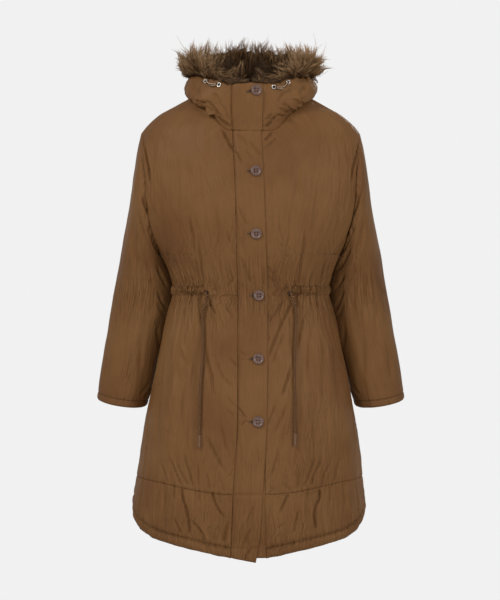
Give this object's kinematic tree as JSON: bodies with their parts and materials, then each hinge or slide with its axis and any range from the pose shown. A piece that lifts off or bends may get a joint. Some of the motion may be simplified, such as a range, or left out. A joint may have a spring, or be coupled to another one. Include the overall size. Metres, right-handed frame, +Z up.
{
  "type": "fur trimmed parka",
  "caption": "Long brown padded coat with a fur rim on its pushed-back hood, a button placket, a drawcord waist, a curved hem and straight sleeves.",
  "frame": {"origin": "middle of the neck base, where the wearer's shoulders carry the coat", "axes": "+Z up along the coat towards the hood, -Y out of its front, +X towards the wearer's left side"},
  "size_m": [0.684, 0.353, 1.1465],
  "materials": {
    "shell": "soft satin brown nylon, lightly padded",
    "fur": "long curly taupe and brown fur",
    "buttons": "polished mauve-brown",
    "eyelets": "bright rounded metal",
    "cord": "braided matt brown",
    "cord_tips": "tan, satin"
  },
  "bodies": {
    "root": {"back": "shell", "button_1": "buttons", "button_2": "buttons", "button_3": "buttons", "button_4": "buttons", "button_5": "buttons", "button_6": "buttons", "front_left": "shell", "front_right": "shell", "hem_band_back": "shell", "hem_band_left": "shell", "hem_band_right": "shell", "hood_cord_left": "cord", "hood_cord_right": "cord", "hood_eyelet_left_inner": "eyelets", "hood_eyelet_left_outer": "eyelets", "hood_eyelet_right_inner": "eyelets", "hood_eyelet_right_outer": "eyelets", "hood_fur_lining": "fur", "hood_fur_trim": "fur", "hood_left": "shell", "hood_right": "shell", "placket": "shell", "placket_top": "shell", "sleeve_left": "shell", "sleeve_right": "shell", "underlap": "shell", "waist_casing_back": "shell", "waist_casing_left": "shell", "waist_casing_right": "shell", "waist_cord_left": "cord", "waist_cord_right": "cord", "waist_cord_tip_left": "cord_tips", "waist_cord_tip_right": "cord_tips", "waist_eyelet_left": "eyelets", "waist_eyelet_right": "eyelets"}
  },
  "joints": []
}
